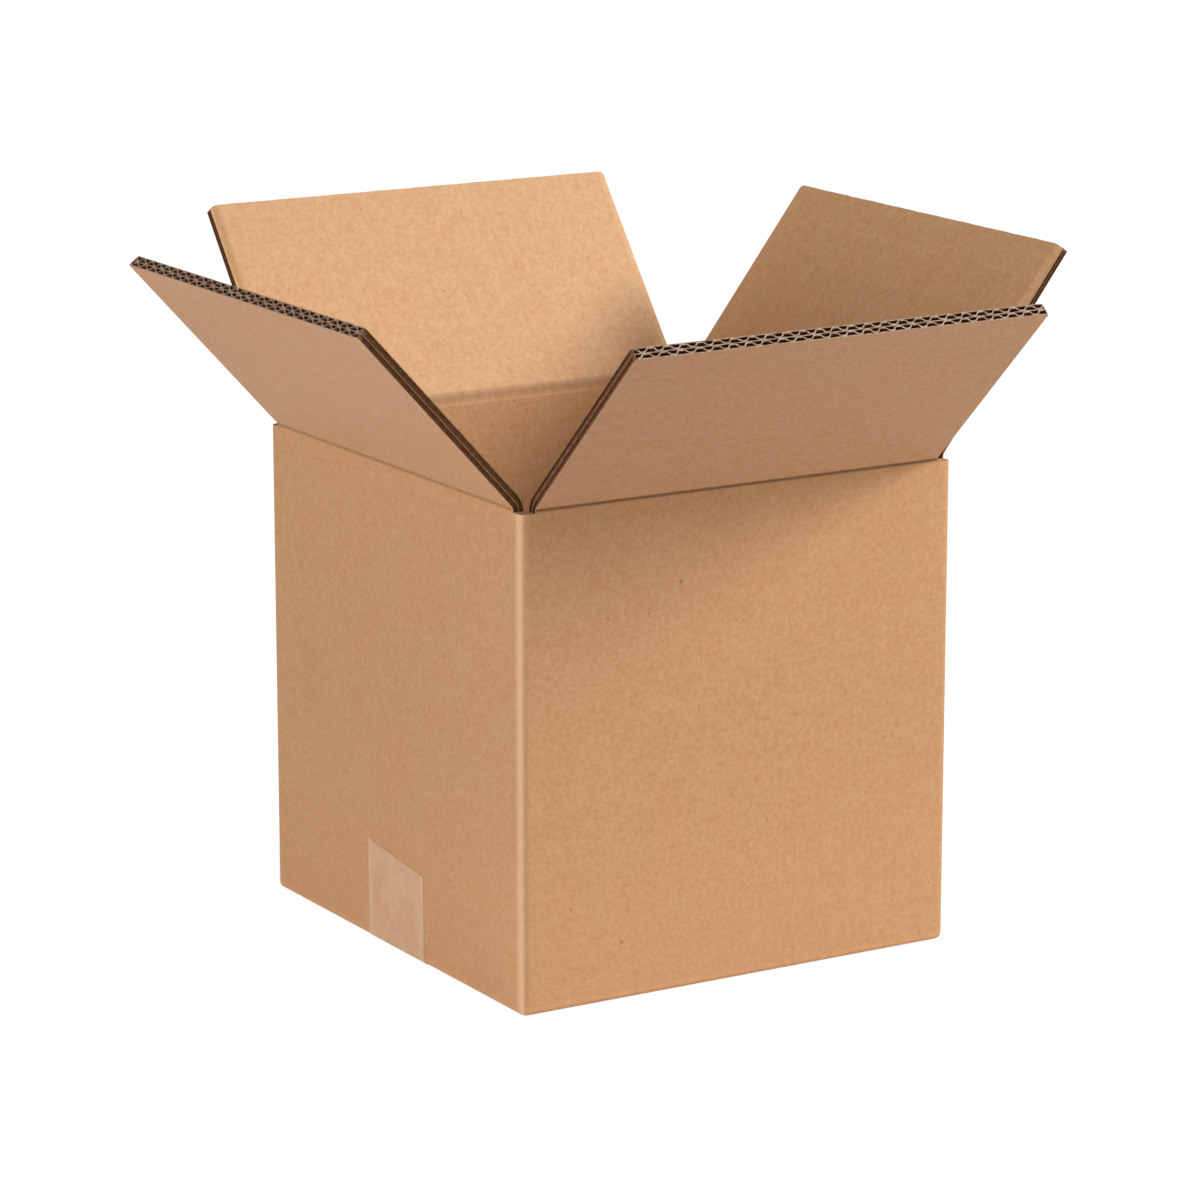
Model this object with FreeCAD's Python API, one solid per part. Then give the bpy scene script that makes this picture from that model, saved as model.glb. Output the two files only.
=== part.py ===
import FreeCAD, Part
import math
import os

# Open slotted carton of double-wall corrugated board, all sizes in mm.
# X runs along the front wall, Y from front to back, Z up.
# The origin is the middle of the foot print, on the lowest face.

# outside of the folded walls
length = 208.0
width = 216.4
bend_height = 210.8

# double-wall board: three liners and two fluted mediums
board = 5.4
liner = 0.5
medium = 0.35
flute_pitch = 7.8
flute_crest = 0.55

# clearance between neighbouring sheets, and how far a cut reaches past what it cuts
gap = 0.3
cut_over = 1.0

# folds
corner_radius = 3.0
inner_radius = 0.6
foot_radius = 2.4
crush_band = 8.0
crush_board = 2.6

# a shut outer flap lies this far below the bend, an inner one a board lower
outer_shut_drop = 2.4
outer_hinge_out = 0.0
inner_hinge_out = 1.1

# outer flaps on the front and back walls, inner flaps on the end walls,
# measured from the bend
outer_length = 105.0
inner_length = 102.0

# lean of the open flaps away from the vertical, in degrees
front_lean = 46.3
back_lean = 38.3
left_lean = 42.6
right_lean = 37.6

# slots at the four corners: cut back of the outer flap and of the inner flap
slot_front_left = (6.6, 6.8)
slot_back_left = (3.5, 6.5)
slot_back_right = (3.2, 13.5)
slot_front_right = (7.4, 6.0)

# glued tab inside the back right corner
tab_width = 35.0
tab_board = 3.2
tab_taper = 12.0
tab_inset = 2.0

# sealing tape round the bottom seam and up both end walls
tape_width = 48.0
tape_board = 0.3
tape_gap = 0.1
tape_offset = -1.5
tape_left_ends = (38.4, 44.0)
tape_right_ends = (45.0, 41.0)

# levels that follow
foot = tape_board + tape_gap
lower_sheet_top = foot + board
upper_sheet_foot = lower_sheet_top + gap
floor_level = upper_sheet_foot + board
inner_shut_drop = outer_shut_drop + board + gap
shut_stack_foot = bend_height - inner_shut_drop - board
flute_height = (board - 3.0 * liner) / 2.0
crush_slope = (board - crush_board) / crush_band

up = FreeCAD.Vector(0, 0, 1)


def box(x0, x1, y0, y1, z0, z1):
    corner = FreeCAD.Vector(x0, y0, z0)
    return Part.makeBox(x1 - x0, y1 - y0, z1 - z0, corner)


def outline(points):
    loop = [FreeCAD.Vector(*p) for p in points]
    loop.append(loop[0])
    return Part.makePolygon(loop)


def prism(points, direction):
    return Part.Face(outline(points)).extrude(FreeCAD.Vector(*direction))


def void_sizes(pitch):
    run = pitch / 2.0 - 2.0 * flute_crest
    slant = math.atan2(flute_height, run)
    across = medium / math.sin(slant)
    wide = pitch / 2.0 - flute_crest - across / 2.0
    narrow = flute_crest + run * medium / flute_height - across / 2.0
    return wide, narrow


def void_points(middle, level, pitch, arch):
    # an arch void stands on the lower liner, a valley void hangs from the upper one
    wide, narrow = void_sizes(pitch)
    low, high = level, level + flute_height - medium
    half_low, half_high = wide, narrow
    if not arch:
        low, high = level + medium, level + flute_height
        half_low, half_high = narrow, wide
    return [
        (middle - half_low, 0, low),
        (middle + half_low, 0, low),
        (middle + half_high, 0, high),
        (middle - half_high, 0, high),
    ]


def side_notch(edge, inward, level, pitch, arch):
    # the open half of a flute where the side of the board is cut, from low to high
    left, right, top_right, top_left = void_points(0.0, level, pitch, arch)
    low, high = right[2], top_right[2]
    return [
        (edge, 0, low),
        (edge + inward * right[0], 0, low),
        (edge + inward * top_right[0], 0, high),
        (edge, 0, high),
    ]


def board_section(start, end):
    # cut section across the flutes, lying in the XZ plane
    count = max(1, int(round((end - start) / flute_pitch)))
    pitch = (end - start) / count
    lower = liner
    upper = 2.0 * liner + flute_height
    rim = [(start, 0, 0), (end, 0, 0)]
    rim += side_notch(end, -1, lower, pitch, True)
    rim += side_notch(end, -1, upper, pitch, False)
    rim += [(end, 0, board), (start, 0, board)]
    rim += reversed(side_notch(start, 1, upper, pitch, False))
    rim += reversed(side_notch(start, 1, lower, pitch, True))
    wires = [outline(rim)]
    for level, first_arch in ((lower, True), (upper, False)):
        for step in range(1, 2 * count):
            middle = start + step * pitch / 2.0
            arch = first_arch if step % 2 == 0 else not first_arch
            wires.append(outline(void_points(middle, level, pitch, arch)))
    return Part.makeFace(wires, "Part::FaceMakerBullseye")


def hinge(lean, shut_drop, out):
    # The hinge line lies out from the wall's face and some way below the bend. Turned
    # about it, the outer face of the flap keeps one distance from the line, passes
    # through the bend when the flap is open, and lies shut_drop below it when shut.
    turn = math.radians(lean)
    below = (shut_drop - out * math.cos(turn)) / (1.0 + math.sin(turn))
    distance = shut_drop - below
    root = liner + gap + out * (1.0 + math.sin(turn)) - below * math.cos(turn)
    return below, distance, root


def flap_blank(span, cut_start, cut_end, reach, root):
    # X along the bend, Y from the bend to the free edge, Z from the outer face inwards
    start = -span / 2.0 + cut_start
    end = span / 2.0 - cut_end
    full = root + crush_band
    fluted = board_section(start, end)
    fluted.translate(FreeCAD.Vector(0, full, 0))
    fluted = fluted.extrude(FreeCAD.Vector(0, reach - full, 0))
    crushed = prism([
        (start, root, 0),
        (start, root, crush_board),
        (start, full, board),
        (start, full, 0),
    ], (end - start, 0, 0))
    return fluted.fuse(crushed).removeSplitter()


def stand(blank, out, half_depth, lean):
    # put a blank on its wall: out is the way the wall faces
    out = FreeCAD.Vector(*out)
    turn = math.radians(lean)
    along = out.cross(up)
    reach = out * math.sin(turn) + up * math.cos(turn)
    inward = up * math.sin(turn) - out * math.cos(turn)
    root = out * half_depth + up * bend_height
    place = FreeCAD.Matrix(
        along.x, reach.x, inward.x, root.x,
        along.y, reach.y, inward.y, root.y,
        along.z, reach.z, inward.z, root.z,
        0, 0, 0, 1,
    )
    blank.Placement = FreeCAD.Placement(place)
    return blank


def wall_ring():
    outer = box(-length / 2, length / 2, -width / 2, width / 2, foot, bend_height)
    posts = [e for e in outer.Edges if abs(e.tangentAt(e.FirstParameter).z) > 0.9]
    outer = outer.makeFillet(corner_radius, posts)
    sill = [e for e in outer.Edges if e.BoundBox.ZMax < foot + 0.01]
    outer = outer.makeFillet(foot_radius, sill)
    inner = box(
        -length / 2 + board, length / 2 - board,
        -width / 2 + board, width / 2 - board,
        foot - cut_over, bend_height + cut_over,
    )
    posts = [e for e in inner.Edges if abs(e.tangentAt(e.FirstParameter).z) > 0.9]
    return outer.cut(inner.makeFillet(inner_radius, posts))


def trim_profile(lean, shut_drop, out):
    # What the crease leaves of a wall: outwards from its face and up from the bend.
    # Full board ends under the shut flap, and only the outer liner goes on to the
    # bend, where its edge stays clear of the face of the flap as that goes round.
    below, distance, root = hinge(lean, shut_drop, out)
    clear = distance - gap
    at_face = math.sqrt(clear ** 2 - out ** 2) - below
    at_back = math.sqrt(clear ** 2 - (out + liner) ** 2) - below
    seat = -shut_drop - crush_board - gap * math.hypot(1.0, crush_slope)
    depth = board + inner_radius
    return [
        (-liner, seat),
        (-depth, seat - (depth - liner - gap) * crush_slope),
        (-depth, cut_over),
        (cut_over, cut_over),
        (cut_over, at_face),
        (0.0, at_face),
        (-liner, at_back),
    ]


def outer_wall_trim(side, lean):
    face = side * width / 2
    far = length / 2 + cut_over
    profile = trim_profile(lean, outer_shut_drop, outer_hinge_out)
    points = [(-far, face + side * u, bend_height + z) for u, z in profile]
    return prism(points, (2.0 * far, 0, 0))


def inner_wall_trim(side, lean):
    face = side * length / 2
    far = width / 2 - board
    profile = trim_profile(lean, inner_shut_drop, inner_hinge_out)
    points = [(face + side * u, -far, bend_height + z) for u, z in profile]
    return prism(points, (0, 2.0 * far, 0))


def bottom_flaps():
    across = length / 2 - board - gap
    sheets = []
    for side in (-1, 1):
        near = side * (width / 2 - foot_radius - cut_over)
        far = side * (width / 2 - outer_length)
        low, high = sorted((near, far))
        sheets.append(box(-across, across, low, high, foot, lower_sheet_top))
    deep = width / 2 - board - gap
    for side in (-1, 1):
        near = side * (length / 2 - foot_radius - cut_over)
        far = side * (length / 2 - inner_length)
        low, high = sorted((near, far))
        sheets.append(box(low, high, -deep, deep, upper_sheet_foot, floor_level))
    return sheets


def glued_tab():
    face = length / 2 - board + liner
    root = width / 2 - board + liner
    edge = root - tab_width
    low = floor_level + gap
    high = shut_stack_foot - gap - tab_inset
    points = [
        (face, root, low),
        (face, edge, low + tab_taper),
        (face, edge, high - tab_taper),
        (face, root, high),
    ]
    return prism(points, (-tab_board - liner, 0, 0))


def carton_body():
    shell = wall_ring()
    for side, lean in ((-1, front_lean), (1, back_lean)):
        shell = shell.cut(outer_wall_trim(side, lean))
    for side, lean in ((-1, left_lean), (1, right_lean)):
        shell = shell.cut(inner_wall_trim(side, lean))
    for sheet in bottom_flaps():
        shell = shell.fuse(sheet)
    return shell.fuse(glued_tab()).removeSplitter()


def tape_profile(skin, top):
    # one side of the tape: down the left wall, under the floor, up the right wall
    reach = length / 2 + skin
    low = foot - skin
    bend = foot_radius + skin
    near = reach - bend
    knee = bend * (1.0 - math.sqrt(0.5))
    points = []
    for side in (-1, 1):
        points.append(FreeCAD.Vector(side * reach, 0, low + bend))
        points.append(FreeCAD.Vector(side * (reach - knee), 0, low + knee))
        points.append(FreeCAD.Vector(side * near, 0, low))
    left_top = FreeCAD.Vector(-reach, 0, top)
    right_top = FreeCAD.Vector(reach, 0, top)
    return [
        Part.makeLine(left_top, points[0]),
        Part.Arc(points[0], points[1], points[2]).toShape(),
        Part.makeLine(points[2], points[5]),
        Part.Arc(points[5], points[4], points[3]).toShape(),
        Part.makeLine(points[3], right_top),
    ]


def tape_trim(side, ends):
    # the torn end of the tape runs slightly aslant
    top = max(tape_left_ends + tape_right_ends) + 2.0 * cut_over
    start = side * length / 2 - cut_over
    near = tape_offset - tape_width / 2 - cut_over
    far = tape_offset + tape_width / 2 + cut_over
    points = [
        (start, near, ends[0]),
        (start, far, ends[1]),
        (start, far, top),
        (start, near, top),
    ]
    return prism(points, (2.0 * cut_over, 0, 0))


def sealing_tape():
    top = max(tape_left_ends + tape_right_ends) + cut_over
    inside = tape_profile(tape_gap, top)
    outside = tape_profile(tape_gap + tape_board, top)
    left_end = Part.makeLine(inside[0].Vertexes[0].Point, outside[0].Vertexes[0].Point)
    right_end = Part.makeLine(inside[4].Vertexes[1].Point, outside[4].Vertexes[1].Point)
    loop = Part.Wire(Part.__sortEdges__(inside + [right_end] + outside + [left_end]))
    strip = Part.Face(loop).extrude(FreeCAD.Vector(0, tape_width, 0))
    strip.translate(FreeCAD.Vector(0, tape_offset - tape_width / 2, 0))
    strip = strip.cut(tape_trim(-1, tape_left_ends))
    return strip.cut(tape_trim(1, tape_right_ends))


def flap(out, lean):
    # the slots at the two ends of this flap, in the order of its own X
    slots = {
        (0, -1, 0): (slot_front_right[0], slot_front_left[0]),
        (0, 1, 0): (slot_back_left[0], slot_back_right[0]),
        (-1, 0, 0): (slot_front_left[1], slot_back_left[1]),
        (1, 0, 0): (slot_back_right[1], slot_front_right[1]),
    }
    start, end = slots[out]
    if out[0] == 0:
        root = hinge(lean, outer_shut_drop, outer_hinge_out)[2]
        blank = flap_blank(length, start, end, outer_length, root)
        return stand(blank, out, width / 2, lean)
    root = hinge(lean, inner_shut_drop, inner_hinge_out)[2]
    blank = flap_blank(width, start, end, inner_length, root)
    return stand(blank, out, length / 2, lean)


nodes = {
    "carton_body": carton_body(),
    "front_flap": flap((0, -1, 0), front_lean),
    "back_flap": flap((0, 1, 0), back_lean),
    "left_flap": flap((-1, 0, 0), left_lean),
    "right_flap": flap((1, 0, 0), right_lean),
    "sealing_tape": sealing_tape(),
}

os.makedirs("parts", exist_ok=True)
for name, shape in nodes.items():
    shape.exportStep("parts/" + name + ".step")
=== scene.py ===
import bpy
import math
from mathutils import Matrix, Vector


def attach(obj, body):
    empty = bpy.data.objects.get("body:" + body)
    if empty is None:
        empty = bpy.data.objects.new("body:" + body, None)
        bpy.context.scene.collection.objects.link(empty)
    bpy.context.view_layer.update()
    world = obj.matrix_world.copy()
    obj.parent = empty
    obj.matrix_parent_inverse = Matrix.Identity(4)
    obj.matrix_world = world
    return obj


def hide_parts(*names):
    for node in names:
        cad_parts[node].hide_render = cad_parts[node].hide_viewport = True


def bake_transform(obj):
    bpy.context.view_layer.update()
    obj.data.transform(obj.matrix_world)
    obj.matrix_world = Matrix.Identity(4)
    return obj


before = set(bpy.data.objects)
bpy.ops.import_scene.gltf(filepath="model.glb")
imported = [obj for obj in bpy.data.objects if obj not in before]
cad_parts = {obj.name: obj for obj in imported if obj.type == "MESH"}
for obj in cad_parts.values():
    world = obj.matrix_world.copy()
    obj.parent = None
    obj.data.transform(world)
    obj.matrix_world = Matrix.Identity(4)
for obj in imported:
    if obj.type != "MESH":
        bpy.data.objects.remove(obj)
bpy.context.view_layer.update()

# An open slotted carton of double-wall corrugated board, in metres.
# X runs along the front wall, Y from front to back, Z up.
# The sizes are those of the part's own source, but for the liners and mediums, which
# are drawn a little thinner and thicker.
LENGTH = 0.2080
WIDTH = 0.2164
BEND = 0.2108
BOARD = 0.0054
LINER = 0.0004
MEDIUM = 0.00062
PITCH = 0.0078
FOOT = 0.0004
CORNER_RADIUS = 0.0030
INNER_RADIUS = 0.0006
FOOT_RADIUS = 0.0024
GAP = 0.0003
OUTER_LENGTH = 0.1050
INNER_LENGTH = 0.1020

# lean of the open flaps away from the vertical
LEANS = {
    "front": math.radians(46.3),
    "back": math.radians(38.3),
    "left": math.radians(42.6),
    "right": math.radians(37.6),
}

# The crease: the walls end below the bend, the flaps begin above it, and a strip
# of crushed board joins the two.
WALL_END = -0.0080
FLAP_START = 0.0070
FOLD_HALF = 0.0009

# the strip is crushed lightly at the bend
LIGHT_HALF = 0.0018
LIGHT_BOARD = 0.0051

# the inner strips are crushed further, to let the outer flaps shut over them,
# but for their front ends, which stay open
HEAVY_BOARD = 0.0026
HEAVY_STEP = 0.0001
HEAVY_TOP = 0.0010
HEAVY_RISE = 0.0035
HEAVY_FRONT = -0.0980
HEAVY_RUN = 0.0120

# corner posts between the slots: their tops, and their reach at the back
POST_END = -0.0016
BACK_POST = 0.0028

# rows across a flap, counted back from its free edge, and across a crease strip
TIP_STEPS = [0.0050, 0.0040, 0.0030, 0.0022, 0.0015, 0.0009, 0.0004, 0.0]
TIP_BAND = 0.0060
PLAIN_ROWS = 11
FLUTE_MIDDLE_ROW = 6
CREASE_STEPS = [0.0060, 0.0055, 0.0050, 0.0046, 0.0042, 0.0038, 0.0034, 0.0030, 0.0026,
                0.0022, 0.0018, 0.0015, 0.0012, 0.0009, 0.0006, 0.0003]

# columns along a board, counted in from each side cut, and a liner's plain columns
SIDE_STEPS = [0.0, 0.0004, 0.0009, 0.0015, 0.0022, 0.0030]
SIDE_BAND = 0.0040
LINER_COLUMNS = 46
FLAP_FLUTE_COLUMNS = 20
CREASE_FLUTE_COLUMNS = 12

# flutes: steepness and bias of the wave, how far it drifts, and the second medium's lead
WAVE_STEEP = 1.9
WAVE_BIAS = 0.25
WAVE_DRIFT = 0.35
DRIFT_ALONG = 97.0
DRIFT_BY_LEVEL = 4000.0
SECOND_PHASE = 0.27

# the paper that closes the last flute at each side cut
CLOSING_INSET = 0.0012
CLOSING_TIP_INSET = 0.0004
CLOSING_TIP = 0.0050
CLOSING_TIP_RUN = 0.0040
CLOSING_PAPER = 0.0003

# worn free corners, and the unevenness of a free edge: height of each ripple, its
# turns along the edge and through the board, and where it starts
WORN_RADIUS = 0.0009
WORN_MORE_INSIDE = 0.0009
RIPPLES = [(0.00005, 260.0, 2100.0, 0.0), (0.00004, 610.0, 900.0, 1.3)]

# side cuts that were pressed thin: flap, whether the low end, share of the board lost
PRESSED = {("right", False): 0.5, ("back", True): 0.3}
PRESSED_WIDTH = 0.0032
PRESSED_RISE = 0.0300

# sealing tape round the bottom; each end's height at its front and back edge
TAPE_WIDTH = 0.0480
TAPE_MIDDLE = -0.0015
TAPE_GAP = 0.0001
TAPE_BOARD = 0.0003
TAPE_LIFT = 0.00015
TAPE_ENDS = {-1.0: (0.0384, 0.0440), 1.0: (0.0450, 0.0410)}
TAPE_BEND_STEPS = 6
TAPE_RISE_STEPS = 6
TAPE_COLUMNS = 12

# the bottom flaps' paper is the inside's, from a part of the sheet that no wall uses
BOTTOM_PAPER = Vector((1.0, -0.3, 0.004))

# glued tab inside the back right corner
TAB_WIDTH = 0.0350
TAB_BOARD = 0.0032
TAB_TAPER = 0.0120
TAB_TOP = BEND - 0.0158

# cut edges of the bottom flaps and of the tab
SHEET_EDGE = 0.0004
TAB_EDGE = 0.0006

SMOOTH_ANGLE = 32.0
TAPE_SMOOTH_ANGLE = 40.0
FACE_MARGIN = 0.0001
TINY = 1e-6
UP = Vector((0, 0, 1))

# each panel's width and the place of its middle round the unrolled board
SPAN = {"front": LENGTH, "left": WIDTH, "back": LENGTH, "right": WIDTH}
WRAP = {
    "front": 0.0,
    "left": (LENGTH + WIDTH) / 2,
    "back": LENGTH + WIDTH,
    "right": (LENGTH + WIDTH) * 1.5,
}


# shader maths

class Wire:
    """A socket whose arithmetic adds Math nodes."""

    def __init__(self, graph, socket):
        self.graph = graph
        self.socket = socket

    def maths(self, operation, *others, clamp=False):
        inputs = {0: self}
        for place, other in enumerate(others, 1):
            inputs[place] = other
        settings = {"operation": operation, "use_clamp": clamp}
        return self.graph.add("ShaderNodeMath", settings, inputs)

    def __add__(self, other):
        return self.maths("ADD", other)

    __radd__ = __add__

    def __mul__(self, other):
        return self.maths("MULTIPLY", other)

    __rmul__ = __mul__

    def __sub__(self, other):
        return self.maths("SUBTRACT", other)

    def __rsub__(self, other):
        return (self * -1.0) + other

    def clamped(self):
        return self.maths("ADD", 0.0, clamp=True)

    def size(self):
        return self.maths("ABSOLUTE")

    def sine(self):
        return self.maths("SINE")


class Graph:
    """The node tree of one material."""

    def __init__(self, name):
        self.material = bpy.data.materials.new(name)
        self.material.use_nodes = True
        self.tree = self.material.node_tree
        self.tree.nodes.clear()

    def add(self, kind, settings=None, inputs=None, output=0):
        node = self.tree.nodes.new(kind)
        for name, value in (settings or {}).items():
            setattr(node, name, value)
        for name, value in (inputs or {}).items():
            if isinstance(value, Wire):
                self.tree.links.new(value.socket, node.inputs[name])
            else:
                node.inputs[name].default_value = value
        return Wire(self, node.outputs[output])

    def mix(self, share, first, second, blend="MIX"):
        settings = {"data_type": "RGBA", "blend_type": blend}
        inputs = {0: share, 6: first, 7: second}
        return self.add("ShaderNodeMix", settings, inputs, output=2)

    def shaded(self, paper, red, green, blue):
        tones = self.add("ShaderNodeCombineColor", inputs={0: red, 1: green, 2: blue})
        return self.mix(1.0, paper, tones, "MULTIPLY")

    def stretched(self, vector, scale):
        inputs = {0: vector, 1: scale}
        return self.add("ShaderNodeVectorMath", {"operation": "MULTIPLY"}, inputs)

    def parts(self, vector):
        split = self.add("ShaderNodeSeparateXYZ", inputs={0: vector}).socket.node
        return [Wire(self, split.outputs[k]) for k in range(3)]

    def noise(self, vector, scale, detail, rough):
        inputs = {"Vector": vector, "Scale": scale, "Detail": detail, "Roughness": rough}
        return self.add("ShaderNodeTexNoise", {"noise_dimensions": "3D"}, inputs)

    def ramp(self, value, low, high):
        inputs = {0: value, 1: low, 2: high, 3: 0.0, 4: 1.0}
        return self.add("ShaderNodeMapRange", {"interpolation_type": "SMOOTHSTEP"}, inputs)

    def band(self, value, middle, half):
        # one in the middle of a band, nothing outside it
        return 1.0 - self.ramp((value - middle).size(), 0.0, half)

    def surface(self, **inputs):
        # a plain surface; an underscore stands for a space in a socket's name
        named = {name.replace("_", " "): value for name, value in inputs.items()}
        return self.finish(self.add("ShaderNodeBsdfPrincipled", inputs=named))

    def finish(self, shader):
        out = self.tree.nodes.new("ShaderNodeOutputMaterial")
        self.tree.links.new(shader.socket, out.inputs["Surface"])
        return self.material


def colour(red, green, blue):
    # a colour as a picture gives it, 0 to 255, in the light's own scale
    parts = []
    for part in (red, green, blue):
        part /= 255.0
        parts.append(part / 12.92 if part <= 0.04045 else ((part + 0.055) / 1.055) ** 2.4)
    return (*parts, 1.0)


# materials

KRAFT_OUTSIDE = colour(216, 164, 117)
KRAFT_INSIDE = colour(211, 166, 122)
# the flaps' outer paper greyer: painted sheen of the white floor on their down-facing faces
KRAFT_FLAP_SHEEN = colour(215, 165, 124)
# painted bounce light: the inside paper yellower and greyer deeper in the box
KRAFT_DEEP_BOUNCE = colour(206, 170, 130)
# painted shade in the crease
KRAFT_CREASE_SHADE = colour(102, 52, 21)
# painted highlight on the rounded near corner fold
KRAFT_FOLD_HIGHLIGHT = colour(255, 208, 160)
KRAFT_BLUSH = (1.0, 0.97, 0.955, 1.0)
KRAFT_ROUGHNESS = 0.62
KRAFT_SHINE = 0.28
# the fluting paper's own darker brown, darkened further as painted shade in the flute voids
FLUTING_AND_SHADE_DARK = colour(112, 72, 46)
FLUTING_AND_SHADE_PALE = colour(146, 102, 70)
CUT_DARK = colour(136, 110, 90)
CUT_PALE = colour(196, 172, 150)
CRUSHED_DARK = colour(168, 124, 86)
CRUSHED_PALE = colour(206, 162, 122)
SIDE_DARK = colour(116, 84, 58)
SIDE_PALE = colour(164, 124, 92)
SIDE_OUTER_DARK = colour(176, 138, 106)
SIDE_OUTER_PALE = colour(206, 170, 136)
BARE_ROUGHNESS = 0.9
BARE_SHINE = 0.15
TAPE_DULL = colour(245, 191, 146)
TAPE_PALE = colour(254, 208, 166)
TAPE_EDGE = colour(250, 220, 186)
TAPE_ROUGHNESS = 0.42
TAPE_SHINE = 0.4
TAPE_COVER = 0.8

# how strongly the paper's mottling shows in red, green and blue
MOTTLE_SHARES = (0.52, 0.98, 1.70)

# the mottling's parts: how much each changes the tone
CLOUD_TONE = 0.26
GRAIN_TONE = 0.66
FIBRE_TONE = 0.20
FLUTE_TONE = 0.04
FLUTE_TONE_INSIDE = 0.06
ROLL_TONE = 0.06

# noise scales along the bend, up the board and through it
FIBRE_SCALE = (800.0, 420.0, 500.0)
FLUTE_SCALE = (300.0, 10.0, 40.0)
ROLL_SCALE = (9.0, 230.0, 40.0)

# two small knots in the front wall's paper: place round the board and height, and
# the squares of their core's and their reach's radius
KNOTS = [(0.0290, 0.1734), (0.0573, 0.0250)]
KNOT_CORE = 2.0e-7
KNOT_REACH = 1.0e-6
SPECK_TONE = 0.40

# upright folds: place round the unrolled board, half width, and the share of painted highlight
# at the near one or the change of tone, painted light and shade, at the others
FOLD_HIGHLIGHT = (LENGTH / 2 + 0.0018, 0.0048, 0.75)
FOLD_LIGHT_AND_SHADE = [
    (WRAP["left"] + WIDTH / 2, 0.0030, -0.08),
    (WRAP["back"] + LENGTH / 2, 0.0030, 0.06),
    (WRAP["right"] + WIDTH / 2, 0.0030, -0.08),
    (-LENGTH / 2, 0.0034, -0.32),
]
CORNER_REACH = 0.0064
CORNER_CORE = 0.0052

# depths in the board between which the paper turns from the outside's to the inside's
OUTSIDE_DEPTH = 0.0020
INSIDE_DEPTH = 0.0034

# the crease's painted shade: strength outside, less at the end walls, and inside
CREASE_HALF = 0.0014
SHARP_SHARE = 0.80
SHARP_LESS_AT_ENDS = 0.32
SOFT_SHARE = 0.40


def board_place(graph):
    """The place on the flat board: round it, up it and in from its outer face."""
    place = graph.add("ShaderNodeAttribute", {"attribute_name": "board"}, output=1)
    return place, *graph.parts(place)


def liner_paper(graph, place, height, inside):
    # painted sheen: the flaps' outer paper turns greyer
    flap = graph.ramp(height, BEND + 0.0005, BEND + 0.0040)
    # painted bounce light: the inside paper turns yellower deeper down
    deep = graph.ramp(height, BEND - 0.0020, BEND - 0.0800)
    paper = graph.mix(inside, graph.mix(flap, KRAFT_OUTSIDE, KRAFT_FLAP_SHEEN),
                      graph.mix(deep, KRAFT_INSIDE, KRAFT_DEEP_BOUNCE))
    blush = graph.ramp(graph.noise(place, 40.0, 3.0, 0.6), 0.35, 0.65)
    return graph.mix(blush, paper, graph.mix(1.0, paper, KRAFT_BLUSH, "MULTIPLY"))


def paper_mottle(graph, place, grain, flutes, inside):
    # cloudy pulp, grain, fibres, and streaks along the flutes and across them
    clouds = graph.noise(place, 150.0, 5.0, 0.65)
    fibres = graph.noise(graph.stretched(place, FIBRE_SCALE), 1.0, 3.0, 0.6)
    rolls = graph.noise(graph.stretched(place, ROLL_SCALE), 1.0, 2.0, 0.5)
    mottle = ((clouds - 0.5) * CLOUD_TONE + (grain - 0.5) * GRAIN_TONE
              + (fibres - 0.5) * FIBRE_TONE)
    streaks = (flutes - 0.5) * (FLUTE_TONE + inside * FLUTE_TONE_INSIDE)
    return mottle + streaks + (rolls - 0.5) * ROLL_TONE


def upright_folds(graph, around, outside):
    # painted light and shade: a highlight on the near fold, lighter or darker tone at the others
    middle, half, share = FOLD_HIGHLIGHT
    fold_highlight = graph.band(around, middle, half) * outside * share
    fold_light_and_shade = 0.0
    for middle, half, step in FOLD_LIGHT_AND_SHADE:
        fold_light_and_shade = fold_light_and_shade + graph.band(around, middle, half) * outside * step
    corners = 0.0
    for middle, *rest in [FOLD_HIGHLIGHT] + FOLD_LIGHT_AND_SHADE:
        corners = corners + graph.ramp((around - middle).size(), CORNER_REACH, CORNER_CORE)
    return fold_highlight, fold_light_and_shade, corners


def painted_crease_shade(graph, around, height, inside, corners):
    # painted shade in the crease: sharp outside, fainter on the end walls, and soft inside
    ends = 0.0
    for name in ("left", "right"):
        off = (around - WRAP[name]).size()
        ends = ends + graph.ramp(off, WIDTH / 2, WIDTH / 2 - 0.0005)
    sharp = graph.band(height, BEND - 0.0003, CREASE_HALF)
    sharp = sharp * (SHARP_SHARE - ends * SHARP_LESS_AT_ENDS)
    soft = graph.band(height, BEND + 0.0001, CREASE_HALF) * SOFT_SHARE
    return sharp * (1.0 - corners) * (1.0 - inside) + soft * inside


def painted_light_tone(graph, height, outside, corners):
    # painted light: a highlight at the lips of the corners, and the fold at the foot and the low
    # wall paler, as the floor's bounce lights them
    lip = corners * graph.ramp(height, BEND - 0.0045, BEND - 0.0016)
    sill = graph.ramp(height, 0.0050, 0.0008) * outside
    low = graph.ramp(height, 0.1200, 0.0100) * outside
    return lip * 0.10 + sill * 0.16 + low * 0.09


def paper_specks(graph, place, around, height):
    specks = graph.ramp(graph.noise(place, 620.0, 0.0, 0.5), 0.845, 0.885)
    for knot_around, knot_height in KNOTS:
        across, up = around - knot_around, height - knot_height
        specks = specks + graph.ramp(across * across + up * up, KNOT_REACH, KNOT_CORE)
    return specks.clamped()


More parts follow.
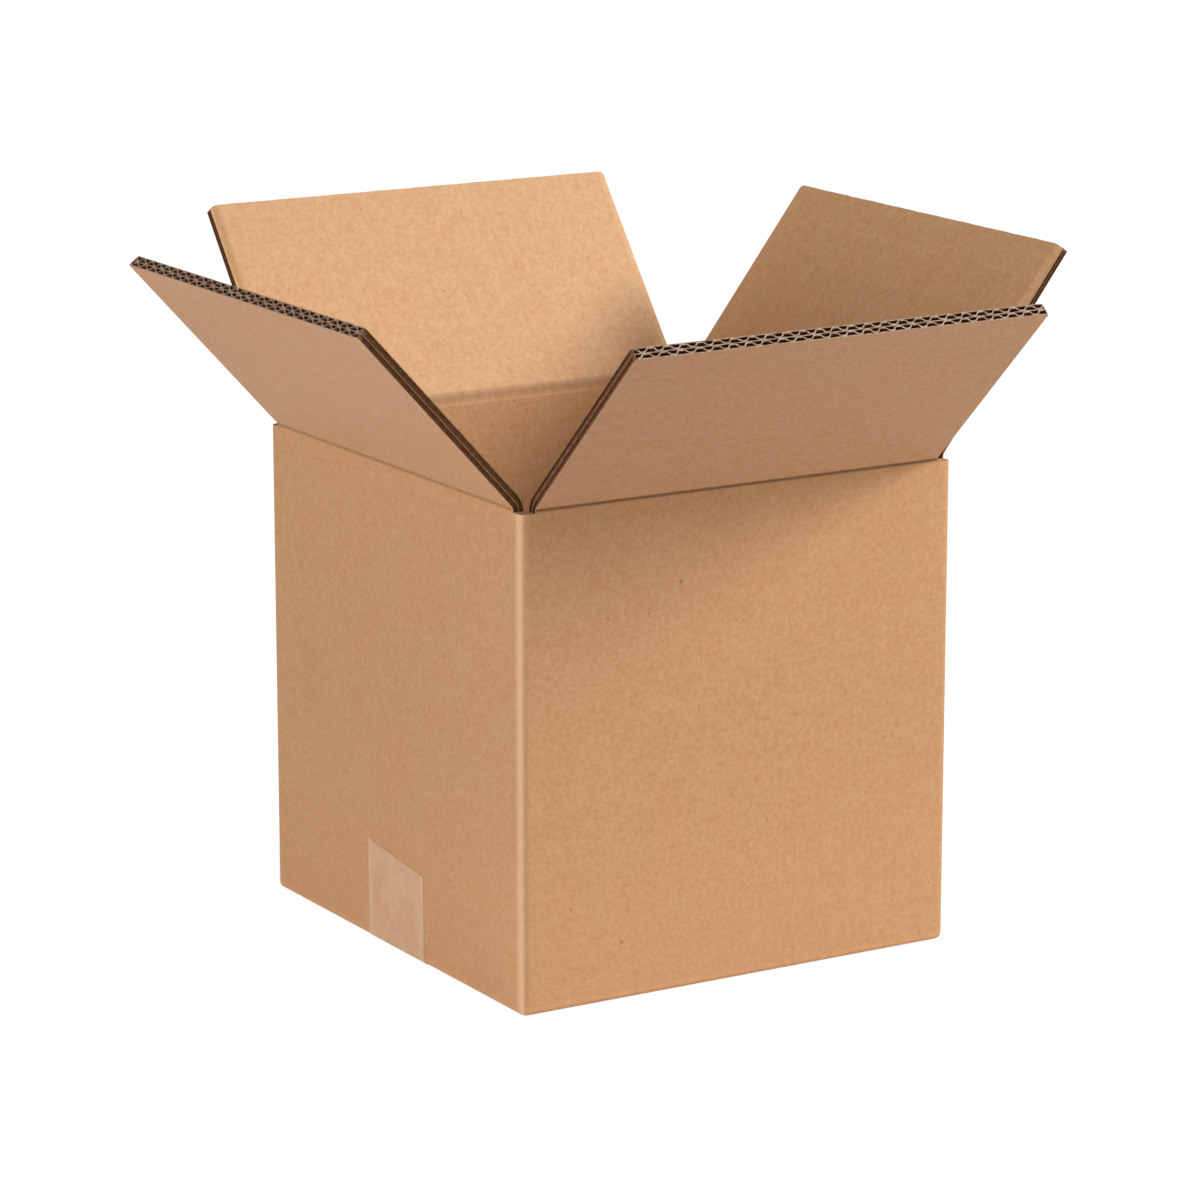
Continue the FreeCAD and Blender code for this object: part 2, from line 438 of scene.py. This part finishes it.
def kraft_liner():
    graph = Graph("kraft_liner")
    place, around, height, depth = board_place(graph)
    inside = graph.ramp(depth, OUTSIDE_DEPTH, INSIDE_DEPTH)
    outside = 1.0 - inside
    grain = graph.noise(place, 430.0, 4.0, 0.75)
    flutes = graph.noise(graph.stretched(place, FLUTE_SCALE), 1.0, 2.0, 0.5)
    mottle = paper_mottle(graph, place, grain, flutes, inside)
    fold_highlight, fold_light_and_shade, corners = upright_folds(graph, around, outside)
    # painted shade along the crease
    pressed = painted_crease_shade(graph, around, height, inside, corners)
    clean = 1.0 - paper_specks(graph, place, around, height) * SPECK_TONE
    # painted light and shade at the folds, the corners' lips, the foot and the low wall
    tone = 1.0 + fold_light_and_shade + painted_light_tone(graph, height, outside, corners)
    paper = graph.mix(pressed, liner_paper(graph, place, height, inside), KRAFT_CREASE_SHADE)
    paper = graph.shaded(paper, *[(tone + mottle * share) * clean for share in MOTTLE_SHARES])
    # painted highlight down the near corner fold
    paper = graph.mix(fold_highlight, paper, KRAFT_FOLD_HIGHLIGHT)
    ridges = (around * (2.0 * math.pi / PITCH)).sine()
    relief = grain * 0.00005 + ridges * 0.00001 + flutes * 0.00003
    bump = graph.add("ShaderNodeBump", inputs={
        "Strength": 1.0, "Distance": 1.0, "Height": relief})
    return graph.surface(Base_Color=paper, Roughness=KRAFT_ROUGHNESS,
                         Specular_IOR_Level=KRAFT_SHINE, Normal=bump)


def grainy(graph, place, dark, pale):
    grain = graph.noise(place, 650.0, 4.0, 0.7)
    return graph.mix(graph.ramp(grain, 0.3, 0.7), dark, pale)


def bare_paper(name, dark, pale):
    graph = Graph(name)
    paper = grainy(graph, board_place(graph)[0], dark, pale)
    return graph.surface(Base_Color=paper, Roughness=BARE_ROUGHNESS,
                         Specular_IOR_Level=BARE_SHINE)


def cut_side():
    # a side cut: the outer liner's edge is the palest
    graph = Graph("cut_side")
    board = board_place(graph)
    place, depth = board[0], board[3]
    paper = graph.mix(graph.ramp(depth, 0.0006, 0.0012),
                      grainy(graph, place, SIDE_OUTER_DARK, SIDE_OUTER_PALE),
                      grainy(graph, place, SIDE_DARK, SIDE_PALE))
    return graph.surface(Base_Color=paper, Roughness=BARE_ROUGHNESS,
                         Specular_IOR_Level=BARE_SHINE)


def clear_tape():
    graph = Graph("clear_tape")
    place = graph.add("ShaderNodeTexCoord", output=3)
    across = (graph.parts(place)[1] - TAPE_MIDDLE).size()
    cloud = graph.noise(place, 120.0, 4.0, 0.6)
    pulled = graph.noise(graph.stretched(place, (30.0, 420.0, 30.0)), 1.0, 2.0, 0.5)
    film = graph.mix(graph.ramp(cloud, 0.3, 0.7), TAPE_DULL, TAPE_PALE)
    edge = graph.ramp(across, TAPE_WIDTH / 2 - 0.0045, TAPE_WIDTH / 2 - 0.0020)
    film = graph.mix(edge * 0.55, film, TAPE_EDGE)
    tone = 1.0 + (pulled - 0.5) * 0.12
    return graph.surface(Base_Color=graph.shaded(film, tone, tone, tone),
                         Roughness=TAPE_ROUGHNESS, Specular_IOR_Level=TAPE_SHINE,
                         Alpha=TAPE_COVER)


def pale_floor():
    graph = Graph("pale_floor")
    path = graph.add("ShaderNodeLightPath").socket.node
    camera, glossy, through = [Wire(graph, path.outputs[name]) for name in
                               ("Is Camera Ray", "Is Glossy Ray", "Is Transmission Ray")]
    share = (camera + glossy + through).clamped() * FLOOR_GLOW_SHARE
    paint = graph.add("ShaderNodeBsdfDiffuse", inputs={"Color": FLOOR_GREY})
    glow = graph.add("ShaderNodeEmission", inputs={"Color": WHITE, "Strength": FLOOR_GLOW})
    return graph.finish(graph.add("ShaderNodeMixShader", inputs={0: share, 1: paint, 2: glow}))


# modelling helpers

def deselect():
    if bpy.context.mode != "OBJECT":
        bpy.ops.object.mode_set(mode="OBJECT")
    bpy.ops.object.select_all(action="DESELECT")


def take_up(piece):
    deselect()
    piece.select_set(True)
    bpy.context.view_layer.objects.active = piece


def edit_all(piece):
    take_up(piece)
    bpy.ops.object.mode_set(mode="EDIT")
    bpy.ops.mesh.select_all(action="SELECT")


def end_edit():
    bpy.ops.object.mode_set(mode="OBJECT")


def name_new(name):
    piece = bpy.context.object
    piece.name = piece.data.name = name
    return piece


def new_block(name, low, high):
    deselect()
    low, high = Vector(low), Vector(high)
    bpy.ops.mesh.primitive_cube_add(size=1.0, location=(low + high) / 2, scale=high - low)
    bpy.ops.object.transform_apply(location=True, rotation=True, scale=True)
    return name_new(name)


def new_grid(name, columns, rows):
    deselect()
    bpy.ops.mesh.primitive_grid_add(x_subdivisions=columns, y_subdivisions=rows, size=1.0)
    return name_new(name)


def grid_places(piece, places, rows):
    # each vertex of a fresh grid with the places of its column and its row
    across, up = len(places) - 1, len(rows) - 1
    for vertex in piece.data.vertices:
        yield (vertex, places[round((vertex.co.x + 0.5) * across)],
               rows[round((vertex.co.y + 0.5) * up)])


def pick(piece, kind, test):
    # in edit mode, select the faces or edges that the test names
    bpy.ops.object.mode_set(mode="EDIT")
    bpy.ops.mesh.select_all(action="DESELECT")
    bpy.ops.mesh.select_mode(type=kind)
    bpy.ops.object.mode_set(mode="OBJECT")
    items = {"FACE": piece.data.polygons, "EDGE": piece.data.edges}[kind]
    for item in items:
        item.select = bool(test(item))
    bpy.ops.object.mode_set(mode="EDIT")


def edge_ends(piece, edge):
    return [piece.data.vertices[i].co for i in edge.vertices]


def join(name, parts):
    deselect()
    for part in parts:
        part.select_set(True)
    bpy.context.view_layer.objects.active = parts[0]
    bpy.ops.object.join()
    return name_new(name)


def apply_modifier(piece, kind, **settings):
    take_up(piece)
    modifier = piece.modifiers.new(kind.lower(), kind)
    for name, value in settings.items():
        setattr(modifier, name, value)
    bpy.ops.object.modifier_apply(modifier=modifier.name)


def paint(piece, *names):
    for name in names:
        piece.data.materials.append(MATERIALS[name])


def set_board_place(piece, place_of):
    store = piece.data.attributes.new("board", "FLOAT_VECTOR", "POINT")
    for vertex, item in zip(piece.data.vertices, store.data):
        item.vector = place_of(vertex.co)


def turn_outwards(piece):
    edit_all(piece)
    bpy.ops.mesh.normals_make_consistent(inside=False)
    end_edit()


def shade(piece, angle):
    take_up(piece)
    bpy.ops.object.shade_smooth_by_angle(angle=math.radians(angle))


def limited(share):
    return max(0.0, min(1.0, share))


def eased(share):
    share = limited(share)
    return share * share * (3.0 - 2.0 * share)


# the sides of the carton

class Side:
    """One wall and its flap as flat board: x along the bend, s up the board from the
    bend, d from the outer face inwards."""

    def __init__(self, name, out, half, flap_length, cuts):
        self.name = name
        self.out = Vector(out)
        self.along = self.out.cross(UP)
        self.half = half
        self.flap_length = flap_length
        self.start = -SPAN[name] / 2 + cuts[0]
        self.end = SPAN[name] / 2 - cuts[1]
        self.inner = name in ("left", "right")
        lean = LEANS[name]
        self.rise = self.out * math.sin(lean) + UP * math.cos(lean)

    def crushed(self, x, s):
        # the share of its thickness that the board keeps at the crease
        light = LIGHT_BOARD + (BOARD - LIGHT_BOARD) * eased(abs(s) / LIGHT_HALF)
        if not self.inner:
            return light / BOARD
        below = (WALL_END + HEAVY_STEP - s) / HEAVY_STEP
        gain = eased(below if s < 0 else (s - HEAVY_TOP) / HEAVY_RISE)
        heavy = HEAVY_BOARD + (BOARD - HEAVY_BOARD) * gain
        share = eased((x * self.along.y - HEAVY_FRONT) / HEAVY_RUN)
        return (light + (heavy - light) * share) / BOARD

    def place(self, x, s, d):
        if s <= -FOLD_HALF:
            spot, tangent = UP * s, UP
        elif s >= FOLD_HALF:
            spot, tangent = self.rise * s, self.rise
        else:
            t = (s + FOLD_HALF) / (2.0 * FOLD_HALF)
            spot = self.rise * (FOLD_HALF * t * t) - UP * (FOLD_HALF * (1.0 - t) ** 2)
            tangent = (UP * (1.0 - t) + self.rise * t).normalized()
        inward = self.along.cross(tangent)
        root = self.out * self.half + UP * BEND
        return root + self.along * x + spot + inward * (d * self.crushed(x, s))

    def board_at(self, x, s, d):
        return Vector((x + WRAP[self.name], BEND + s, d))


# each side's slots: its flap's cut back at the low and at the high end
SIDES = [
    Side("front", (0, -1, 0), WIDTH / 2, OUTER_LENGTH, (0.0074, 0.0066)),
    Side("left", (-1, 0, 0), LENGTH / 2, INNER_LENGTH, (0.0068, 0.0065)),
    Side("back", (0, 1, 0), WIDTH / 2, OUTER_LENGTH, (0.0035, 0.0032)),
    Side("right", (1, 0, 0), LENGTH / 2, INNER_LENGTH, (0.0135, 0.0060)),
]


def spread(low, high):
    # places along a board, closer together near both ends
    run = high - low - 2.0 * SIDE_BAND
    even = [low + SIDE_BAND + run * k / LINER_COLUMNS for k in range(LINER_COLUMNS + 1)]
    return [low + step for step in SIDE_STEPS] + even + [high - step for step in SIDE_STEPS[::-1]]


def liner_sheet(side, rows, low):
    places = spread(side.start, side.end)
    sheet = new_grid("liner", len(places) - 1, len(rows) - 1)
    for vertex, x, s in grid_places(sheet, places, rows):
        vertex.co = (x, s, low)
    paint(sheet, "liner", "cut", "core", "side")
    apply_modifier(sheet, "SOLIDIFY", thickness=LINER, offset=1.0, material_offset_rim=1)
    for face in sheet.data.polygons:
        # the liners' faces inside the flutes take the dark fluting paper, as painted shade in the
        # flute voids
        level = face.center.z
        if face.material_index == 0 and FACE_MARGIN < level < BOARD - FACE_MARGIN:
            face.material_index = 2
        elif face.material_index == 1 and abs(face.normal.x) > 0.7:
            face.material_index = 3
    return sheet


FLUTE_HEIGHT = (BOARD - 3.0 * LINER) / 2.0


def fluted_sheet(side, rows, low, phase, columns):
    count = round((side.end - side.start) / PITCH)
    pitch = (side.end - side.start) / count
    swing = (FLUTE_HEIGHT - MEDIUM) / 2.0
    middle = low + FLUTE_HEIGHT / 2.0

    def wave(x):
        # steep flanks, crests flat on the liners, no two flutes quite alike
        turn = 2.0 * math.pi * ((x - side.start) / pitch + phase)
        turn += WAVE_DRIFT * math.sin(x * DRIFT_ALONG + low * DRIFT_BY_LEVEL)
        return middle + swing * max(-1.0, min(1.0, math.sin(turn) * WAVE_STEEP + WAVE_BIAS))

    first, last = side.start + CLOSING_INSET, side.end - CLOSING_INSET
    steps = count * columns
    places = [first + (last - first) * k / steps for k in range(steps + 1)]
    sheet = new_grid("fluting", steps, len(rows) - 1)
    for vertex, x, s in grid_places(sheet, places, rows):
        vertex.co = (x, s, wave(x))
    paint(sheet, "core", "cut")
    apply_modifier(sheet, "SOLIDIFY", thickness=MEDIUM, offset=0.0, material_offset_rim=1)
    return sheet


def closing_wall(side, rows, low, edge, way):
    # the paper that closes the last flute a little inside a side cut and, at the
    # free edge, out to the cut
    wall = new_grid("closing", 1, len(rows) - 1)
    for vertex, up, s in grid_places(wall, [0.0, 1.0], rows):
        share = limited((s - side.flap_length + CLOSING_TIP) / CLOSING_TIP_RUN)
        inset = CLOSING_INSET - (CLOSING_INSET - CLOSING_TIP_INSET) * share * share
        vertex.co = (edge + way * inset, s, low + FLUTE_HEIGHT * up)
    paint(wall, "core", "cut")
    apply_modifier(wall, "SOLIDIFY", thickness=CLOSING_PAPER, offset=0.0, material_offset_rim=1)
    return wall


def worn(side, x, s, d):
    """Round a flap's free corners, the inner sheets more, and make its edge uneven."""
    radius = WORN_RADIUS + WORN_MORE_INSIDE * d / BOARD
    left = x < (side.start + side.end) / 2
    across = radius - (x - side.start if left else side.end - x)
    up = radius - (side.flap_length - s)
    near = limited((s - side.flap_length + TIP_BAND) / TIP_BAND)
    ripple = sum(rise * math.sin(x * along + d * through + start)
                 for rise, along, through, start in RIPPLES)
    if across > 0.0 and up > 0.0:
        pull = 1.0 - max(across, up) / math.hypot(across, up)
        x += across * pull * (1.0 if left else -1.0)
        s -= up * pull
    pressed = PRESSED.get((side.name, left), 0.0)
    if pressed:
        inset = x - side.start if left else side.end - x
        share = eased(1.0 - inset / PRESSED_WIDTH) * limited(s / PRESSED_RISE)
        d *= 1.0 - pressed * share
    return x, s + ripple * near, d


def fold_up(piece, side):
    # remember the flat place of every point, then stand the board on its wall
    for vertex in piece.data.vertices:
        vertex.co = worn(side, *vertex.co)
    set_board_place(piece, lambda co: side.board_at(*co))
    for vertex in piece.data.vertices:
        vertex.co = side.place(*vertex.co)
    turn_outwards(piece)
    shade(piece, SMOOTH_ANGLE)


def board_sheets(name, side, rows, flute_rows, flute_columns):
    """Three liners, two mediums and the papers that close the side cuts."""
    step = (BOARD - LINER) / 2.0
    sheets = [liner_sheet(side, rows, step * level) for level in range(3)]
    sheets.append(fluted_sheet(side, flute_rows, LINER, 0.0, flute_columns))
    sheets.append(fluted_sheet(side, flute_rows, step + LINER, SECOND_PHASE, flute_columns))
    for low in (LINER, step + LINER):
        sheets.append(closing_wall(side, rows, low, side.start, 1.0))
        sheets.append(closing_wall(side, rows, low, side.end, -1.0))
    piece = join(name, sheets)
    fold_up(piece, side)
    return piece


def flap_board(side):
    end = side.flap_length
    tip = [end - step for step in TIP_STEPS]
    plain = [FLAP_START + (end - TIP_BAND - FLAP_START) * k / PLAIN_ROWS
             for k in range(PLAIN_ROWS + 1)]
    flute_rows = [plain[0], plain[FLUTE_MIDDLE_ROW]] + tip[1:]
    piece = board_sheets(side.name + "_flap_board", side, plain + tip, flute_rows,
                         FLAP_FLUTE_COLUMNS)
    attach(piece, side.name + "_flap")
    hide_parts(side.name + "_flap")


def crease_strip(side):
    rows = ([WALL_END, WALL_END + HEAVY_STEP] + [-s for s in CREASE_STEPS] + [0.0]
            + CREASE_STEPS[::-1] + [FLAP_START])
    piece = board_sheets(side.name + "_crease", side, rows, rows, CREASE_FLUTE_COLUMNS)
    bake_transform(piece)


# the walls

def nearest(co):
    """The side that a point of the walls belongs to, and its depth in the board."""
    depths = [side.half - co.dot(side.out) for side in SIDES]
    depth = min(depths)
    return SIDES[depths.index(depth)], depth


def unrolled(co):
    """Where a point of the walls lies on the flat board."""
    side, depth = nearest(co)
    return side.board_at(co.dot(side.along), co.z - BEND, depth)


def at_level(piece, edge, level):
    return all(abs(end.z - level) < TINY for end in edge_ends(piece, edge))


def edge_spans(piece, edge, level):
    low, high = sorted(end.z for end in edge_ends(piece, edge))
    return low < level < high


def open_box(name, inset, top, radius, segments):
    low = (inset - LENGTH / 2, inset - WIDTH / 2, FOOT)
    high = (LENGTH / 2 - inset, WIDTH / 2 - inset, top)
    piece = new_block(name, low, high)
    pick(piece, "FACE", lambda face: abs(face.normal.z) > 0.5)
    bpy.ops.mesh.delete(type="ONLY_FACE")
    end_edit()
    middle = (FOOT + top) / 2
    pick(piece, "EDGE", lambda edge: edge_spans(piece, edge, middle))
    bpy.ops.mesh.bevel(offset=radius, segments=segments, profile=0.5, affect="EDGES")
    end_edit()
    return piece


def cut_across(piece, axis, value):
    edit_all(piece)
    spot, normal = Vector(), Vector()
    spot[axis], normal[axis] = value, 1.0
    bpy.ops.mesh.bisect(plane_co=spot, plane_no=normal)
    end_edit()


def round_foot(walls):
    # the lower outer edge
    def on_sill(edge):
        outer = all(max(abs(end.x) - LENGTH / 2, abs(end.y) - WIDTH / 2)
                    > -CORNER_RADIUS - TINY for end in edge_ends(walls, edge))
        return outer and at_level(walls, edge, FOOT)

    pick(walls, "EDGE", on_sill)
    bpy.ops.mesh.bevel(offset=FOOT_RADIUS, segments=4, profile=0.5, affect="EDGES")
    end_edit()


def raise_posts(walls, top):
    # the corner posts between the slots
    for side in SIDES:
        axis = 1 if side.inner else 0
        cut_across(walls, axis, side.along[axis] * side.start)
        cut_across(walls, axis, side.along[axis] * side.end)
    for side in SIDES:
        if side.inner:
            cut_across(walls, 0, side.out.x * (LENGTH / 2 - BACK_POST))

    def on_post(face):
        if abs(face.center.z - top) > TINY or face.normal.z < 0.5:
            return False
        side, depth = nearest(face.center)
        beside_flap = not side.start < face.center.dot(side.along) < side.end
        behind_post = side.inner and face.center.y > 0 and depth > BACK_POST
        return beside_flap and not behind_post

    pick(walls, "FACE", on_post)
    bpy.ops.mesh.extrude_region_move(
        TRANSFORM_OT_translate={"value": (0, 0, POST_END - WALL_END)})
    end_edit()


def carton_walls():
    top = BEND + WALL_END
    outer = open_box("outer", 0.0, top, CORNER_RADIUS, 5)
    inner = open_box("inner", BOARD, top, INNER_RADIUS, 2)
    edit_all(inner)
    bpy.ops.mesh.flip_normals()
    walls = join("carton_walls", [outer, inner])
    for level in (FOOT, top):
        pick(walls, "EDGE", lambda edge: at_level(walls, edge, level))
        bpy.ops.mesh.bridge_edge_loops()
        end_edit()
    round_foot(walls)
    raise_posts(walls, top)
    paint(walls, "liner", "crushed")
    for face in walls.data.polygons:
        if face.normal.z > 0.9:
            face.material_index = 1
    set_board_place(walls, unrolled)
    shade(walls, SMOOTH_ANGLE)
    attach(walls, "carton")
    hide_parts("carton_body")


def bottom_flaps():
    lower_top = FOOT + BOARD
    upper_foot = lower_top + GAP
    across = LENGTH / 2 - BOARD - GAP
    deep = WIDTH / 2 - BOARD - GAP
    sheets = []
    for way in (-1, 1):
        near, far = sorted((way * (WIDTH / 2 - FOOT_RADIUS), way * (WIDTH / 2 - OUTER_LENGTH)))
        sheets.append(new_block("sheet", (-across, near, FOOT), (across, far, lower_top)))
        near, far = sorted((way * across, way * (LENGTH / 2 - INNER_LENGTH)))
        sheets.append(new_block("sheet", (near, -deep, upper_foot),
                                (far, deep, upper_foot + BOARD)))
    piece = join("bottom_flaps", sheets)
    apply_modifier(piece, "BEVEL", width=SHEET_EDGE, segments=2, limit_method="ANGLE")
    paint(piece, "liner")
    set_board_place(piece, lambda co: Vector((co.x, co.y, 0.0)) + BOTTOM_PAPER)
    shade(piece, SMOOTH_ANGLE)
    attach(piece, "carton")


def glued_tab():
    face = LENGTH / 2 - BOARD
    root = WIDTH / 2 - BOARD
    low = FOOT + 2.0 * BOARD + 2.0 * GAP
    piece = new_block("glued_tab", (face - TAB_BOARD, root - TAB_WIDTH, low),
                      (face, root, TAB_TOP))
    for vertex in piece.data.vertices:
        if vertex.co.y < root - TAB_WIDTH / 2:
            vertex.co.z += TAB_TAPER if vertex.co.z < BEND / 2 else -TAB_TAPER
    apply_modifier(piece, "BEVEL", width=TAB_EDGE, segments=2, limit_method="ANGLE")
    paint(piece, "liner")
    set_board_place(piece, unrolled)
    shade(piece, SMOOTH_ANGLE)
    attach(piece, "carton")


def tape_strip():
    skin = TAPE_GAP + TAPE_BOARD
    bend = FOOT_RADIUS + skin
    low = FOOT - skin
    reach = LENGTH / 2 + TAPE_LIFT
    flat = reach - bend
    turned = flat + bend * math.pi / 2

    def along(distance):
        # 0 in the middle of the bottom, positive to the right
        way = 1.0 if distance >= 0 else -1.0
        run = abs(distance)
        if run <= flat:
            return Vector((way * run, 0, low))
        if run <= turned:
            turn = (run - flat) / bend
            out = Vector((way * math.sin(turn), 0, -math.cos(turn)))
            return Vector((way * flat, 0, low + bend)) + out * bend
        return Vector((way * reach, 0, low + bend + run - turned))

    # along one half: the bottom, round the fold, and then up the wall as a share of
    # the rise to the tape's end
    bends = [flat + (turned - flat) * k / TAPE_BEND_STEPS for k in range(TAPE_BEND_STEPS + 1)]
    rises = [(k + 1) / TAPE_RISE_STEPS for k in range(TAPE_RISE_STEPS)]
    half = [(run, 0.0) for run in bends] + [(turned, share) for share in rises]
    marks = ([(-1.0, *mark) for mark in half[::-1]] + [(1.0, 0.0, 0.0)]
             + [(1.0, *mark) for mark in half])
    shares = [k / TAPE_COLUMNS for k in range(TAPE_COLUMNS + 1)]
    piece = new_grid("tape_strip", TAPE_COLUMNS, len(marks) - 1)
    for vertex, across, (way, run, share) in grid_places(piece, shares, marks):
        front, back = TAPE_ENDS[way]
        rise = front + (back - front) * across - low - bend
        spot = along(way * (run + rise * share))
        vertex.co = spot + Vector((0, TAPE_MIDDLE + (across - 0.5) * TAPE_WIDTH, 0))
    turn_outwards(piece)
    paint(piece, "tape")
    shade(piece, TAPE_SMOOTH_ANGLE)
    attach(piece, "carton")
    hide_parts("sealing_tape")


# floor, light and camera

WHITE = (1, 1, 1, 1)
FLOOR_SIZE = 12.0
FLOOR_GREY = (0.60, 0.60, 0.60, 1)
FLOOR_GLOW = 1.2
FLOOR_GLOW_SHARE = 0.785
WORLD_COLOUR = (1.0, 0.985, 0.965, 1)
WORLD_STRENGTH = 0.24
BOX_MIDDLE = (0, 0, 0.12)

CAMERA_YAW = math.radians(-31.09)
CAMERA_PITCH = math.radians(13.42)
CAMERA_PLACE = (-1.03342, -1.70998, 0.61673)
FOCAL_PIXELS = 4786.87
PICTURE_SIDE = 1200
SENSOR = 36.0

# lamps: name, place, size and power
LAMPS = [
    ("key", (2.16, -1.10, 1.76), 0.9, 80.0),
    ("overhead", (0.0, -0.8, 3.0), 2.0, 5.5),
    ("front", (0.0, -1.9, 2.5), 2.0, 14.5),
    ("left_side", (-2.9, 0.0, 0.5), 0.9, 30.0),
    ("back", (0.9, 2.8, 1.5), 1.2, 6.0),
]


def studio_floor():
    deselect()
    bpy.ops.mesh.primitive_plane_add(size=FLOOR_SIZE, location=(0, 0, 0))
    floor = bpy.context.object
    floor.name = "studio_floor"
    floor.data.materials.append(pale_floor())


def soft_lamp(name, place, size, power):
    data = bpy.data.lights.new(name, "AREA")
    data.shape = "DISK"
    data.size = size
    data.energy = power
    lamp = bpy.data.objects.new(name, data)
    bpy.context.scene.collection.objects.link(lamp)
    lamp.location = place
    lamp.rotation_mode = "QUATERNION"
    lamp.rotation_quaternion = (Vector(BOX_MIDDLE) - Vector(place)).to_track_quat("-Z", "Y")


def white_world():
    world = bpy.data.worlds.new("studio")
    bpy.context.scene.world = world
    world.use_nodes = True
    tree = world.node_tree
    tree.nodes.clear()
    path = tree.nodes.new("ShaderNodeLightPath")
    soft = tree.nodes.new("ShaderNodeBackground")
    soft.inputs["Color"].default_value = WORLD_COLOUR
    soft.inputs["Strength"].default_value = WORLD_STRENGTH
    plain = tree.nodes.new("ShaderNodeBackground")
    plain.inputs["Color"].default_value = WHITE
    plain.inputs["Strength"].default_value = 1.0
    mix = tree.nodes.new("ShaderNodeMixShader")
    out = tree.nodes.new("ShaderNodeOutputWorld")
    tree.links.new(path.outputs["Is Camera Ray"], mix.inputs[0])
    tree.links.new(soft.outputs[0], mix.inputs[1])
    tree.links.new(plain.outputs[0], mix.inputs[2])
    tree.links.new(mix.outputs[0], out.inputs[0])


def studio_camera():
    data = bpy.data.cameras.new("studio_camera")
    data.sensor_width = SENSOR
    data.lens = FOCAL_PIXELS * SENSOR / PICTURE_SIDE
    data.clip_start, data.clip_end = 0.05, 50.0
    camera = bpy.data.objects.new("studio_camera", data)
    bpy.context.scene.collection.objects.link(camera)
    back = Vector((math.sin(CAMERA_YAW) * math.cos(CAMERA_PITCH),
                   -math.cos(CAMERA_YAW) * math.cos(CAMERA_PITCH),
                   math.sin(CAMERA_PITCH)))
    camera.location = CAMERA_PLACE
    camera.rotation_mode = "QUATERNION"
    camera.rotation_quaternion = (-back).to_track_quat("-Z", "Y")
    bpy.context.scene.camera = camera


MATERIALS = {
    "liner": kraft_liner(),
    # fluting paper, with painted shade in the flute voids
    "core": bare_paper("fluting_paper_and_shade", FLUTING_AND_SHADE_DARK, FLUTING_AND_SHADE_PALE),
    "cut": bare_paper("cut_paper", CUT_DARK, CUT_PALE),
    "side": cut_side(),
    "crushed": bare_paper("crushed_paper", CRUSHED_DARK, CRUSHED_PALE),
    "tape": clear_tape(),
}

carton_walls()
bottom_flaps()
glued_tab()
tape_strip()
for side in SIDES:
    flap_board(side)
    crease_strip(side)

studio_floor()
white_world()
for lamp in LAMPS:
    soft_lamp(*lamp)
studio_camera()
bpy.context.scene.view_settings.view_transform = "Standard"
